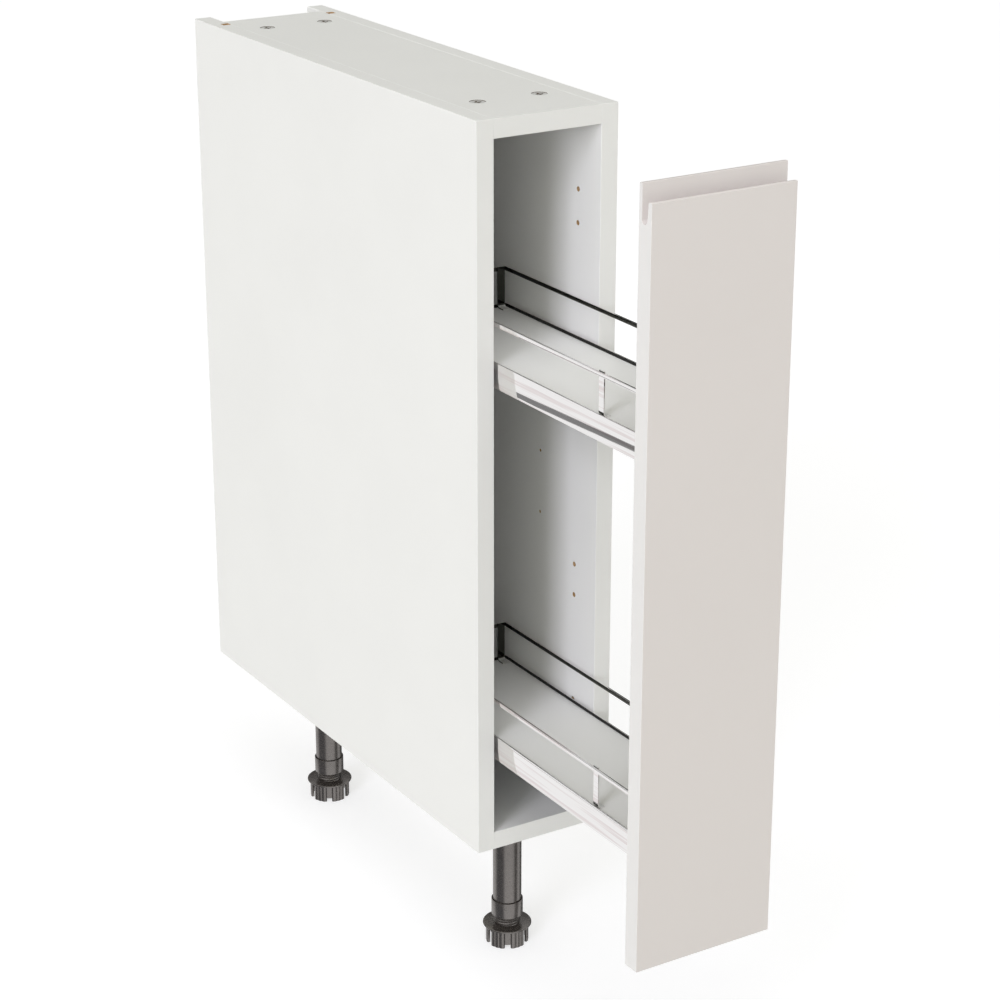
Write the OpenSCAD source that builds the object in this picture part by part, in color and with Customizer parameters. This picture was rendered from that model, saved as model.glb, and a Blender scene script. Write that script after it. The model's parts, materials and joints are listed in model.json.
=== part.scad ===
// Pull-out base cabinet. A narrow floor unit whose full-height front draws out
// two railed trays on ball runners that are fixed to one side panel.
// X runs across the cabinet, Y from its front into its depth, Z up from the floor.
// Each piece is drawn where it lies in the shut cabinet, and what slides is then
// drawn out by its own share of the opening.

/* [Carcass] */
// Width over both side panels
carcass_w = 150; // [150:5:200]
// Height of the side panels
carcass_h = 720; // [700:5:900]
// Depth of the side panels
carcass_d = 565; // [550:5:600]
// Thickness of every carcass panel
panel_t = 18; // [16:0.5:19]
// Clear depth behind the back panel for pipes
service_void = 31; // [25:1:45]
// Thickness of the tongue along both edges of the back panel
tongue_t = 8; // [6:0.5:10]
// Depth of the groove that holds the tongue
groove_depth = 8.5; // [6:0.5:10]

/* [Legs] */
// Height of the carcass above the floor
leg_h = 150; // [130:5:180]
// Diameter of the leg tube
tube_d = 29; // [28.5:0.5:31]
// Diameter of the collar at the foot of the tube
collar_d = 32; // [31.5:0.5:36]
// Height of that collar
collar_h = 17.5; // [14:0.5:22]
// Diameter of the screw of the foot
thread_d = 25.8; // [24:0.1:25.8]
// Length of screw that shows between foot and collar
thread_shown = 9.5; // [9.5:0.5:16]
// Diameter of the flange of the foot
flange_d = 49.5; // [46:0.5:60]
// Diameter of the toothed ring of the foot
ring_d = 43.5; // [40:0.5:45]
// Height of the toothed ring
ring_h = 19; // [15:0.5:24]
// Distance of the front leg from the front edge
front_leg_y = 68; // [60:1:90]
// Distance of the rear leg from the rear edge
rear_leg_inset = 116; // [105:1:140]

/* [Front] */
// Thickness of the front
front_t = 18; // [18:0.5:22]
// Reveal around the front
reveal = 2; // [1.5:0.5:4]
// Gap between the shut front and the carcass
front_gap = 1.5; // [1:0.25:3]
// How far the lip of the grip groove ends below the top
lip_drop = 14; // [10:0.5:20]
// Thickness of the strip behind the grip groove
strip_t = 4; // [3:0.25:5]
// Depth of the grip groove below its lip
grip_depth = 19.5; // [15:0.5:25]

/* [Trays] */
// Gap between a tray and each side panel
tray_gap = 2; // [1.5:0.25:4]
// Length of a tray
tray_l = 404; // [390:1:440]
// Height of the polished tray side
tray_h = 25; // [25:0.5:32]
// Height of the lower tray above the carcass underside
tray_lift = 95; // [90:1:130]
// Distance from the lower tray up to the upper one
tray_pitch = 375; // [300:5:420]
// Height of the rail above the tray side
rail_rise = 37.5; // [25:0.5:60]
// Thickness of the rail
rail_w = 2; // [1.5:0.25:3]
// Height of the rail's section
rail_h = 4; // [3:0.25:8]

/* [Runners] */
// Length of a runner
runner_l = 400; // [380:5:420]
// Height of a runner
runner_h = 45; // [44:0.5:48]
// Diameter of the balls
ball_d = 4; // [3:0.1:4]
// How far the front is drawn out
opening = 247; // [0:1:400]

/* [Hidden] */
$fn = 48;

// Extra length of a cut past the face it leaves, and the clearances between pieces
overrun = 1;
fit_gap = 0.1;
slip_gap = 0.3;

// Places worked out from the sizes above
half_w = carcass_w / 2;
inner_half = half_w - panel_t;
base_z = leg_h;
top_z = base_z + carcass_h;
back_y = carcass_d - service_void - panel_t;
rear_leg_y = carcass_d - rear_leg_inset;
front_back_y = -front_gap;
front_face_y = front_back_y - front_t;
// The origin lies under the middle of the cabinet as it stands with its front drawn out
origin_y = (carcass_d + front_face_y - opening) / 2;
runner_side = 1;

// Cam fittings: a disc in the horizontal panel draws in the head of a bolt in the side panel
cam_d = 15;
cam_h = 13.2;
cam_sink = 0.3;
cam_bore_gap = 0.15;
cam_reach = 24;
cam_front_y = 67;
cam_rear_inset = 35;
cam_cross_l = 8;
cam_cross_w = 1.6;
cam_cross_depth = 2.5;
cam_ys = [cam_front_y, back_y - cam_rear_inset];
bolt_thread_d = 5;
bolt_embed = 11;
bolt_neck_d = 4.6;
bolt_head_d = 6.6;
bolt_head_l = 4;
bolt_bore_d = 7.4;

// Dowels beside the cam fittings
dowel_d = 8;
dowel_l = 30;
dowel_embed = 12;
dowel_step = 32;
dowel_ys = [cam_front_y + dowel_step, back_y - cam_rear_inset - dowel_step];

// Back panel tongue
tongue_slack = 0.5;
tongue_drop = 3;

// Drilled rows in the side panels, measured from the panel's lower and front edges
hole_step = 32;
hinge_hole_d = 5;
hinge_hole_depth = 12;
hinge_hole_y = 37;
hinge_hole_inset = 86;
mid_hinge_z = 229.5;
hinge_hole_zs = [
  hinge_hole_inset, mid_hinge_z, carcass_h - hinge_hole_inset - hole_step
];
pilot_hole_d = 3;
pilot_hole_depth = 6;
pilot_hole_y = 99;
pilot_hole_zs = [296, 296 + 2 * hole_step];

// Leg socket under the bottom panel
socket_w = 46;
socket_l = 92;
socket_t = 3;
socket_corner_r = 8;
cup_d = 36;
cup_h = 24;
cup_top_gap = 1;
cup_rib_t = 2.5;
cup_rib_l = 38;
socket_screw_x = 14;
socket_screw_y = 36;
socket_screw_d = 3.5;
socket_screw_l = 13;
socket_head_d = 7;
socket_head_t = 1.6;

// Leg tube and screw foot
screw_gap = 0.1;
tube_bore_h = 90;
thread_engaged = 45;
thread_pitch = 3;
thread_depth = 1;
stud_bore_d = 18;
flange_t = 2;
ring_wall = 3;
rib_count = 24;
rib_r = 1.1;
slot_count = 3;
slot_w = 5.5;
notch_w = 6.5;
notch_h = 4.4;

// Section of the front
front_w = carcass_w - 2 * reveal;
front_h = carcass_h - 2 * reveal;
grip_top_w = 9.3;
grip_bottom_w = 7.3;
lip_back_r = 1.6;
lip_front_r = 0.8;
arc_steps = 8;

// Tray
tray_half = inner_half - tray_gap;
tray_setback = 4;
tray_front_y = front_back_y + tray_setback;
tray_rear_y = tray_front_y + tray_l;
frame_t = 1.6;
frame_corner_r = 3;
rim_h = 3.2;
tray_board_t = 16;
ledge_w = 8;
ledge_t = 1.6;
board_top = tray_h - rim_h;
board_bottom = board_top - tray_board_t;
ledge_bottom = board_bottom - ledge_t;
lower_tray_z = base_z + tray_lift;
upper_tray_z = lower_tray_z + tray_pitch;

// Rail and posts
rail_inset = 1;
rail_corner_r = 3;
post_w = 8;
post_t = 1.2;
post_stub = 1;
foot_l = 8;
rear_foot_l = 11;
post_setback = 77.5;
rear_post_inset = 1;
rail_half = tray_half - rail_inset;
rail_inner_half = rail_half - rail_w;
rail_rear_y = tray_rear_y - rail_inset - rail_w;

// Runner section: x is measured from the side panel, z from the runner's middle
steel_t = 1.2;
runner_t = 12.7;
runner_drop = 1;
runner_start_y = 2;
member_trim = 2;
lip_h = 1.4;
outer_reach = runner_t - 1;
middle_reach = runner_t - 1.3;
ball_gap = 0.1;
cage_t = 0.5;
cage_gap = 0.4;
runner_head_d = 9;
runner_head_t = 0.8;
runner_screw_d = 4;
runner_screw_l = 14;
runner_screw_y = 35;
runner_screw_steps = [0, 5, 10];
outer_half = runner_h / 2;
outer_race_z = outer_half - steel_t - ball_gap - ball_d / 2;
middle_half = outer_race_z - ball_d / 2 - ball_gap;
inner_race_z = middle_half - steel_t - ball_gap - ball_d / 2;
inner_half_h = inner_race_z - ball_d / 2 - ball_gap;
outer_cage_x = steel_t + runner_head_t + slip_gap;
middle_x = outer_cage_x + cage_t + cage_gap;
inner_cage_x = middle_x + steel_t + cage_gap;
inner_x = inner_cage_x + cage_t + cage_gap;
outer_ball_x = (middle_x + middle_reach) / 2;
inner_ball_x = (inner_x + runner_t - steel_t) / 2;
cage_l = 150;
cage_lip = 3.4;
ball_count = 7;
ball_pitch = 20;
cage_mid_y = runner_start_y + runner_l / 2;

// Shares of the opening by which each piece of a runner follows the front
middle_share = 1 / 2;
outer_cage_share = 1 / 4;
inner_cage_share = 3 / 4;

// Carrier angle under a tray and the bracket that joins it to the front
carrier_t = 2;
carrier_w = 68;
carrier_margin = 1;
carrier_end_gap = 3;
carrier_x = inner_half - runner_t;
carrier_front_y = tray_front_y + frame_t + ledge_w + carrier_margin;
carrier_rear_y = tray_rear_y - frame_t - ledge_w - carrier_end_gap;
rivet_d = 4;
rivet_head_d = 7;
rivet_head_t = 1.3;
rivet_inset = 40;
bracket_t = 2;
bracket_left_x = -20;
bracket_w = 60;
bracket_l = 62;
bracket_drop = 48;
bracket_screw_inset = 10;
bracket_screw_z = 12;
bracket_screw_step = 22;
front_screw_d = 3.5;
front_screw_l = 14;
front_head_d = 7;
front_head_t = 1.6;
tray_screw_d = 3.5;
tray_screw_l = 12;
tray_head_d = 7;
tray_head_t = 1.4;
tray_screw_front_y = 34;
tray_screw_rear_inset = 50;

// Colours
board_white = "#ebebe8";
front_cashmere = "#d9d4d0";
bare_board = "#a9743c";
chrome = "#d9dadb";
zinc = "#b4b6b8";
leg_brown = "#4a4745";
cam_grey = "#a3a6a9";
beech = "#cfa671";

// Points of an arc about c from angle a to angle b
function arc(c, r, a, b) =
  [for (i = [0:arc_steps]) c + r * [cos(a + (b - a) * i / arc_steps), sin(a + (b - a) * i / arc_steps)]];

module placed() {
  translate([0, -origin_y, 0]) children();
}

// Draws out a sliding piece by its share of the opening
module drawn(share = 1) {
  translate([0, -origin_y - share * opening, 0]) children();
}

// Box from its lowest to its highest corner
module span(low, high) {
  translate(low) cube(high - low);
}

module rounded_plan(w, l, r) {
  square([w - 2 * r, l], center = true);
  square([w, l - 2 * r], center = true);
  for (x = [-1, 1], y = [-1, 1]) translate([x * (w / 2 - r), y * (l / 2 - r)]) circle(r);
}

// Bore into side panel s from its inner face
module side_bore(s, y, z, d, depth) {
  translate([s * (inner_half - overrun), y, z]) rotate([0, s * 90, 0])
    cylinder(d = d, h = depth + overrun);
}

// Bore into a horizontal panel from its end at side s
module end_bore(s, y, z, d, depth) {
  translate([s * (inner_half + overrun), y, z]) rotate([0, -s * 90, 0])
    cylinder(d = d, h = depth + overrun);
}

// Screw along +Z: its head spans z from -head_t to 0 and its shank runs up
module screw(d, l, head_d, head_t) {
  translate([0, 0, -head_t]) cylinder(d = head_d, h = head_t);
  translate([0, 0, -head_t / 2]) cylinder(d = d, h = l + head_t / 2);
}

// Heights of the middles of the bottom and top panels
function panel_mid(top) = top ? top_z - panel_t / 2 : base_z + panel_t / 2;

module side_panel(s) {
  groove_w = tongue_t + 2 * fit_gap;
  color(board_white) difference() {
    span([s > 0 ? inner_half : -half_w, 0, base_z], [s > 0 ? half_w : -inner_half, carcass_d, top_z]);
    groove_x = inner_half + (groove_depth - overrun) / 2;
    translate([s * groove_x, back_y - fit_gap + groove_w / 2, (base_z + top_z) / 2])
      cube([groove_depth + overrun, groove_w, carcass_h + 2 * overrun], center = true);
    for (top = [false, true]) {
      for (y = cam_ys) side_bore(s, y, panel_mid(top), bolt_thread_d + 2 * fit_gap, bolt_embed + slip_gap);
      for (y = dowel_ys) side_bore(s, y, panel_mid(top), dowel_d + 2 * fit_gap, dowel_embed + slip_gap);
    }
    for (z = hinge_hole_zs, k = [0, 1])
      side_bore(s, hinge_hole_y, base_z + z + k * hole_step, hinge_hole_d, hinge_hole_depth);
    for (z = pilot_hole_zs) side_bore(s, pilot_hole_y, base_z + z, pilot_hole_d, pilot_hole_depth);
    if (s == runner_side) for (z = [lower_tray_z, upper_tray_z], k = runner_screw_steps)
      side_bore(s, runner_start_y + runner_screw_y + k * hole_step, runner_mid(z),
        runner_screw_d + 2 * fit_gap, runner_screw_l);
  }
}

// Horizontal panel between the sides, with its cam bores in the face that points away
module cross_panel(top) {
  low = top ? top_z - panel_t : base_z;
  face = top ? top_z : base_z;
  away = top ? 1 : -1;
  bore_h = cam_h + cam_sink + slip_gap;
  color(board_white) difference() {
    span([-inner_half, 0, low], [inner_half, back_y, low + panel_t]);
    for (s = [-1, 1]) {
      for (y = cam_ys) {
        translate([s * (inner_half - cam_reach), y, face - away * (bore_h - overrun) / 2])
          cylinder(d = cam_d + 2 * cam_bore_gap, h = bore_h + overrun, center = true);
        end_bore(s, y, panel_mid(top), bolt_bore_d, cam_reach);
      }
      for (y = dowel_ys)
        end_bore(s, y, panel_mid(top), dowel_d + 2 * fit_gap, dowel_l - dowel_embed + slip_gap);
    }
    if (!top) for (y = [front_leg_y, rear_leg_y]) translate([0, y, base_z])
      socket_screw_places() translate([0, 0, -overrun])
        cylinder(d = socket_screw_d + 2 * fit_gap, h = socket_screw_l - socket_t + slip_gap + overrun);
  }
}

module back_panel() {
  tongue_half = inner_half + groove_depth - tongue_slack;
  color(board_white) {
    span([-inner_half, back_y, base_z], [inner_half, back_y + panel_t, top_z]);
    span([-tongue_half, back_y, base_z], [tongue_half, back_y + tongue_t, top_z - tongue_drop]);
  }
}

// Cam discs of one panel, each with its cross slot and the pocket for the bolt head
module cams(top) {
  away = top ? 1 : -1;
  face = (top ? top_z : base_z) - away * cam_sink;
  color(cam_grey) for (s = [-1, 1], y = cam_ys) difference() {
    translate([s * (inner_half - cam_reach), y, face - away * cam_h / 2])
      cylinder(d = cam_d, h = cam_h, center = true);
    end_bore(s, y, panel_mid(top), bolt_bore_d, cam_reach + bolt_head_l / 2 + slip_gap);
    for (turn = [0, 90]) translate([s * (inner_half - cam_reach), y, face]) rotate(turn)
      cube([cam_cross_l, cam_cross_w, 2 * cam_cross_depth], center = true);
  }
}

module cam_bolts() {
  color(zinc) for (top = [false, true], s = [-1, 1], y = cam_ys)
    translate([s * (inner_half + bolt_embed), y, panel_mid(top)]) rotate([0, -s * 90, 0]) {
      cylinder(d = bolt_thread_d, h = bolt_embed);
      cylinder(d = bolt_neck_d, h = bolt_embed + cam_reach);
      translate([0, 0, bolt_embed + cam_reach - bolt_head_l / 2]) cylinder(d = bolt_head_d, h = bolt_head_l);
    }
}

module panel_dowels() {
  color(beech) for (top = [false, true], s = [-1, 1], y = dowel_ys)
    translate([s * (inner_half + dowel_embed), y, panel_mid(top)]) rotate([0, -s * 90, 0])
      cylinder(d = dowel_d, h = dowel_l);
}

module socket_screw_places() {
  for (x = [-1, 1], y = [-1, 1]) translate([x * socket_screw_x, y * socket_screw_y, 0]) children();
}

// Plate screwed under the bottom panel, with the cup that takes the leg tube
module leg_socket(y) {
  color(leg_brown) translate([0, y, base_z]) difference() {
    union() {
      translate([0, 0, -socket_t]) linear_extrude(socket_t) rounded_plan(socket_w, socket_l, socket_corner_r);
      translate([0, 0, -cup_h]) cylinder(d = cup_d, h = cup_h - socket_t / 2);
      for (turn = [90, -90]) rotate(turn) translate([0, -cup_rib_t / 2, -cup_h / 2])
        cube([cup_rib_l, cup_rib_t, cup_h / 2 - socket_t / 2]);
    }
    translate([0, 0, -cup_h - overrun])
      cylinder(d = tube_d + 2 * fit_gap, h = cup_h - socket_t + overrun);
    socket_screw_places() translate([0, 0, -socket_t - overrun])
      cylinder(d = socket_screw_d + 2 * fit_gap, h = socket_t + 2 * overrun);
  }
}

module socket_screws() {
  color(zinc) for (y = [front_leg_y, rear_leg_y]) translate([0, y, base_z - socket_t])
    socket_screw_places() screw(socket_screw_d, socket_screw_l, socket_head_d, socket_head_t);
}

// Hollow leg tube with the thicker collar that holds the thread
module leg_tube(y) {
  low = ring_h + flange_t + thread_shown;
  top = base_z - socket_t - cup_top_gap;
  color(leg_brown) translate([0, y, 0]) difference() {
    union() {
      translate([0, 0, low]) cylinder(d = tube_d, h = top - low);
      translate([0, 0, low]) cylinder(d = collar_d, h = collar_h);
    }
    translate([0, 0, low - overrun]) cylinder(d = thread_d + 2 * screw_gap, h = tube_bore_h + overrun);
  }
}

// Toothed ring that a spanner turns: full-height slots, and a notch midway between two slots
module toothed_ring() {
  difference() {
    union() {
      cylinder(d = ring_d - 2 * rib_r + rib_r, h = ring_h);
      for (i = [0:rib_count - 1]) rotate(i * 360 / rib_count)
        translate([ring_d / 2 - rib_r, 0, 0]) cylinder(r = rib_r, h = ring_h, $fn = 24);
    }
    translate([0, 0, -overrun]) cylinder(d = ring_d - 2 * ring_wall, h = ring_h + 2 * overrun);
    for (i = [0:slot_count - 1]) rotate(i * 360 / slot_count) {
      translate([0, -notch_w / 2, -overrun]) cube([ring_d, notch_w, notch_h + overrun]);
      rotate(180 / slot_count) translate([0, -slot_w / 2, -overrun])
        cube([ring_d, slot_w, ring_h + 2 * overrun]);
    }
  }
}

// Screw foot: toothed ring, flange and hollow threaded stud in one moulding
module foot(y) {
  stud_h = thread_shown + thread_engaged;
  groove_h = thread_pitch / 2;
  color(leg_brown) translate([0, y, 0]) {
    toothed_ring();
    difference() {
      union() {
        translate([0, 0, ring_h]) cylinder(d = flange_d, h = flange_t);
        translate([0, 0, ring_h + flange_t]) cylinder(d = thread_d, h = stud_h);
      }
      translate([0, 0, ring_h - overrun]) cylinder(d = stud_bore_d, h = stud_h + flange_t + 2 * overrun);
      for (z = [ring_h + flange_t + groove_h:thread_pitch:ring_h + flange_t + stud_h - groove_h])
        translate([0, 0, z]) rotate_extrude() polygon([
          [thread_d / 2 - thread_depth, groove_h / 2],
          [thread_d / 2 + thread_depth, -groove_h / 2],
          [thread_d / 2 + thread_depth, 3 * groove_h / 2]
        ]);
    }
  }
}

// Section of the front, y from its face and z from its lower edge
function front_section() =
  let (
    groove_back = front_t - strip_t,
    groove_front = groove_back - grip_bottom_w,
    bottom_r = grip_bottom_w / 2,
    lip_z = front_h - lip_drop,
    groove_z = lip_z - grip_depth,
    lip_back = groove_back - grip_top_w
  ) concat(
    [[0, 0], [front_t, 0], [front_t, front_h], [groove_back, front_h]],
    arc([groove_front + bottom_r, groove_z + bottom_r], bottom_r, 0, -180),
    arc([lip_back - lip_back_r, lip_z - lip_back_r], lip_back_r, 0, 90),
    arc([lip_front_r, lip_z - lip_front_r], lip_front_r, 90, 180)
  );

module door_front() {
  color(front_cashmere) difference() {
    translate([0, front_face_y, base_z + reveal]) rotate([90, 0, 90])
      linear_extrude(front_w, center = true) polygon(front_section());
    front_screw_places() translate([0, 0, -overrun])
      cylinder(d = front_screw_d + 2 * fit_gap, h = front_screw_l - bracket_t + slip_gap + overrun);
  }
}

// Places of the bracket screws on the back of the front, pointing into it
module front_screw_places() {
  for (z = [lower_tray_z, upper_tray_z], j = [0, 1]) screw_pair()
    translate([0, front_back_y, z - bracket_screw_z - j * bracket_screw_step]) rotate([90, 0, 0]) children();
}

module tray_plan(inset, r) {
  translate([0, (tray_front_y + tray_rear_y) / 2])
    rounded_plan(2 * (tray_half - inset), tray_l - 2 * inset, r);
}

// Polished tray side with a ledge under the board; its front wall stops at the ledge
module tray_frame(z) {
  color(chrome) translate([0, 0, z]) difference() {
    linear_extrude(tray_h) tray_plan(0, frame_corner_r);
    translate([0, 0, board_bottom]) linear_extrude(tray_h) tray_plan(frame_t, frame_corner_r - frame_t);
    translate([0, 0, -overrun]) linear_extrude(tray_h) tray_plan(frame_t + ledge_w, frame_corner_r - frame_t);
    translate([0, 0, -overrun]) linear_extrude(ledge_bottom + overrun)
      tray_plan(frame_t, frame_corner_r - frame_t);
    span([-tray_half + frame_t, tray_front_y - overrun, -overrun],
      [tray_half - frame_t, tray_front_y + frame_corner_r, ledge_bottom]);
  }
}

module tray_board(z) {
  color(board_white) translate([0, 0, z]) difference() {
    translate([0, 0, board_bottom]) linear_extrude(tray_board_t)
      tray_plan(frame_t + fit_gap, frame_corner_r - frame_t);
    tray_screw_places() translate([0, 0, -overrun])
      cylinder(d = tray_screw_d + 2 * fit_gap, h = board_bottom + tray_screw_l - carrier_t);
  }
}

module rail(z) {
  color(chrome) translate([0, 0, z + tray_h + rail_rise - rail_h]) linear_extrude(rail_h) difference() {
    tray_plan(rail_inset, rail_corner_r);
    tray_plan(rail_inset + rail_w, rail_corner_r - rail_w);
  }
}

// Flat posts with bent feet: two near the front on the sides, two in the rear corners
module rail_posts(z) {
  post_h = rim_h + rail_rise + post_stub;
  color(chrome) translate([0, 0, z + board_top]) for (s = [0, 1]) mirror([s, 0, 0]) {
    front_y = tray_front_y + post_setback - post_w / 2;
    span([rail_inner_half - post_t, front_y, 0], [rail_inner_half, front_y + post_w, post_h]);
    span([rail_inner_half - foot_l, front_y, 0], [rail_inner_half, front_y + post_w, post_t]);
    rear_x = rail_inner_half - rear_post_inset;
    span([rear_x - post_w, rail_rear_y - post_t, 0], [rear_x, rail_rear_y, post_h]);
    span([rear_x - post_w, rail_rear_y - rear_foot_l, 0], [rear_x, rail_rear_y, post_t]);
  }
}

// Height of a runner's middle under a tray that starts at z
function runner_mid(z) = z - runner_drop - runner_h / 2;

// Frame whose x runs from the runner's side panel and whose z starts at the runner's middle
module on_side(z) {
  translate([inner_half, 0, runner_mid(z)]) mirror([1, 0, 0]) children();
}

module rivet_places() {
  y0 = carrier_front_y + rivet_inset;
  y1 = carrier_rear_y - rivet_inset;
  for (y = [y0, (y0 + y1) / 2, y1]) translate([runner_t, y, 0]) rotate([0, 90, 0]) children();
}

// Steel channel with its web at x and its arms reaching to a depth
module channel(x, reach, half_h, y0, y1) {
  span([x, y0, -half_h], [x + steel_t, y1, half_h]);
  for (s = [0, 1]) mirror([0, 0, s])
    span([min(x, reach), y0, half_h - steel_t], [max(x + steel_t, reach), y1, half_h]);
}

module runner_outer(z) {
  y0 = runner_start_y;
  y1 = y0 + runner_l;
  color(zinc) on_side(z) difference() {
    union() {
      channel(0, outer_reach, outer_half, y0, y1);
      for (s = [0, 1]) mirror([0, 0, s])
        span([outer_reach - steel_t, y0, outer_half - steel_t - lip_h], [outer_reach, y1, outer_half]);
    }
    for (k = runner_screw_steps)
      translate([-overrun, runner_start_y + runner_screw_y + k * hole_step, 0]) rotate([0, 90, 0])
        cylinder(d = runner_screw_d + 2 * fit_gap, h = steel_t + 2 * overrun);
  }
}

module runner_screws() {
  color(zinc) for (z = [lower_tray_z, upper_tray_z], k = runner_screw_steps) on_side(z)
    translate([steel_t, runner_start_y + runner_screw_y + k * hole_step, 0]) rotate([0, -90, 0])
      screw(runner_screw_d, runner_screw_l, runner_head_d, runner_head_t);
}

module runner_middle(z) {
  y0 = runner_start_y + member_trim;
  y1 = runner_start_y + runner_l - member_trim;
  color(zinc) on_side(z) channel(middle_x, middle_reach, middle_half, y0, y1);
}

module runner_inner(z) {
  color(zinc) on_side(z) difference() {
    channel(runner_t - steel_t, inner_x, inner_half_h, runner_start_y, runner_start_y + runner_l);
    rivet_places() translate([0, 0, -steel_t - overrun])
      cylinder(d = rivet_d + 2 * fit_gap, h = steel_t + 2 * overrun);
  }
}

module ball_places(x, race_z) {
  for (side = [-1, 1], i = [0:ball_count - 1])
    translate([x, cage_mid_y + (i - (ball_count - 1) / 2) * ball_pitch, side * race_z]) children();
}

// Thin folded strip that keeps a row of balls above and below
module ball_cage(z, x, ball_x, race_z) {
  color(zinc) on_side(z) difference() {
    union() {
      y0 = cage_mid_y - cage_l / 2;
      span([x, y0, -race_z - cage_t / 2], [x + cage_t, y0 + cage_l, race_z + cage_t / 2]);
      for (s = [0, 1]) mirror([0, 0, s])
        span([x, y0, race_z - cage_t / 2], [ball_x + cage_lip, y0 + cage_l, race_z + cage_t / 2]);
    }
    ball_places(ball_x, race_z) cylinder(d = ball_d + 2 * fit_gap, h = 2 * cage_t, center = true);
  }
}

module balls(z, ball_x, race_z) {
  color(chrome) on_side(z) ball_places(ball_x, race_z) sphere(d = ball_d);
}

// Angle under the tray board whose upright is riveted to the inner runner member
module carrier(z) {
  top = z + board_bottom;
  low = runner_mid(z) - inner_half_h;
  color(zinc) difference() {
    union() {
      span([carrier_x - carrier_w, carrier_front_y, top - carrier_t], [carrier_x, carrier_rear_y, top]);
      span([carrier_x - carrier_t, carrier_front_y, low], [carrier_x, carrier_rear_y, top]);
    }
    translate([0, 0, z]) tray_screw_places() translate([0, 0, -overrun])
      cylinder(d = tray_screw_d + 2 * fit_gap, h = board_bottom + 2 * overrun);
    on_side(z) rivet_places() translate([0, 0, -overrun])
      cylinder(d = rivet_d + 2 * fit_gap, h = carrier_t + 2 * overrun);
  }
}

module carrier_rivets() {
  shank_l = rivet_head_t + steel_t + carrier_t;
  color(zinc) for (z = [lower_tray_z, upper_tray_z]) on_side(z) rivet_places() {
    translate([0, 0, -steel_t - rivet_head_t]) cylinder(d = rivet_head_d, h = rivet_head_t);
    translate([0, 0, -steel_t - rivet_head_t / 2]) cylinder(d = rivet_d, h = shank_l);
    translate([0, 0, carrier_t]) cylinder(d = rivet_head_d, h = rivet_head_t);
  }
}

// Bent plate: a flange under the carrier and an upright screwed to the back of the front
module front_bracket(z) {
  top = z + board_bottom - carrier_t;
  x1 = bracket_left_x + bracket_w;
  color(zinc) difference() {
    union() {
      span([bracket_left_x, front_back_y, top - bracket_t], [x1, front_back_y + bracket_l, top]);
      span([bracket_left_x, front_back_y, top - bracket_drop], [x1, front_back_y + bracket_t, top]);
    }
    front_screw_places() translate([0, 0, -bracket_t - overrun])
      cylinder(d = front_screw_d + 2 * fit_gap, h = bracket_t + 2 * overrun);
    translate([0, 0, z]) tray_screw_places() translate([0, 0, -overrun])
      cylinder(d = tray_screw_d + 2 * fit_gap, h = board_bottom + 2 * overrun);
  }
}

module front_screws() {
  color(zinc) front_screw_places() translate([0, 0, -bracket_t])
    screw(front_screw_d, front_screw_l, front_head_d, front_head_t);
}

// Places across the cabinet of a pair of screws that a bracket's width sets
module screw_pair() {
  for (i = [0, 1])
    translate([bracket_left_x + bracket_screw_inset + i * (bracket_w - 2 * bracket_screw_inset), 0, 0])
      children();
}

// The front pair passes through the bracket too, the rear pair through the carrier alone
module tray_screw_places() {
  screw_pair() {
    translate([0, tray_screw_front_y, 0]) children();
    translate([0, carrier_rear_y - tray_screw_rear_inset, 0]) children();
  }
}

module tray_screws() {
  color(zinc) for (z = [lower_tray_z, upper_tray_z]) screw_pair()
    translate([0, 0, z + board_bottom - carrier_t]) {
      translate([0, tray_screw_front_y, -bracket_t])
        screw(tray_screw_d, tray_screw_l, tray_head_d, tray_head_t);
      translate([0, carrier_rear_y - tray_screw_rear_inset, 0])
        screw(tray_screw_d, tray_screw_l - bracket_t, tray_head_d, tray_head_t);
    }
}

placed() side_panel(-1);  // side_panel_left
placed() side_panel(1);  // side_panel_right
placed() cross_panel(true);  // top_panel
placed() cross_panel(false);  // bottom_panel
placed() back_panel();
placed() cams(true);  // top_cams
placed() cams(false);  // bottom_cams
placed() cam_bolts();
placed() panel_dowels();
placed() leg_socket(front_leg_y);  // front_leg_socket
placed() leg_socket(rear_leg_y);  // rear_leg_socket
placed() socket_screws();
placed() leg_tube(front_leg_y);  // front_leg_tube
placed() leg_tube(rear_leg_y);  // rear_leg_tube
placed() foot(front_leg_y);  // front_foot
placed() foot(rear_leg_y);  // rear_foot
drawn() door_front();
drawn() tray_frame(upper_tray_z);  // upper_tray_frame
drawn() tray_frame(lower_tray_z);  // lower_tray_frame
drawn() tray_board(upper_tray_z);  // upper_tray_board
drawn() tray_board(lower_tray_z);  // lower_tray_board
drawn() rail(upper_tray_z);  // upper_rail
drawn() rail(lower_tray_z);  // lower_rail
drawn() rail_posts(upper_tray_z);  // upper_rail_posts
drawn() rail_posts(lower_tray_z);  // lower_rail_posts
drawn() carrier(upper_tray_z);  // upper_carrier
drawn() carrier(lower_tray_z);  // lower_carrier
drawn() front_bracket(upper_tray_z);  // upper_front_bracket
drawn() front_bracket(lower_tray_z);  // lower_front_bracket
drawn() front_screws();
drawn() tray_screws();
drawn() carrier_rivets();
placed() runner_outer(upper_tray_z);  // upper_runner_outer
placed() runner_outer(lower_tray_z);  // lower_runner_outer
placed() runner_screws();
drawn(middle_share) runner_middle(upper_tray_z);  // upper_runner_middle
drawn(middle_share) runner_middle(lower_tray_z);  // lower_runner_middle
drawn() runner_inner(upper_tray_z);  // upper_runner_inner
drawn() runner_inner(lower_tray_z);  // lower_runner_inner
drawn(outer_cage_share) ball_cage(upper_tray_z, outer_cage_x, outer_ball_x, outer_race_z);  // upper_outer_cage
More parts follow.
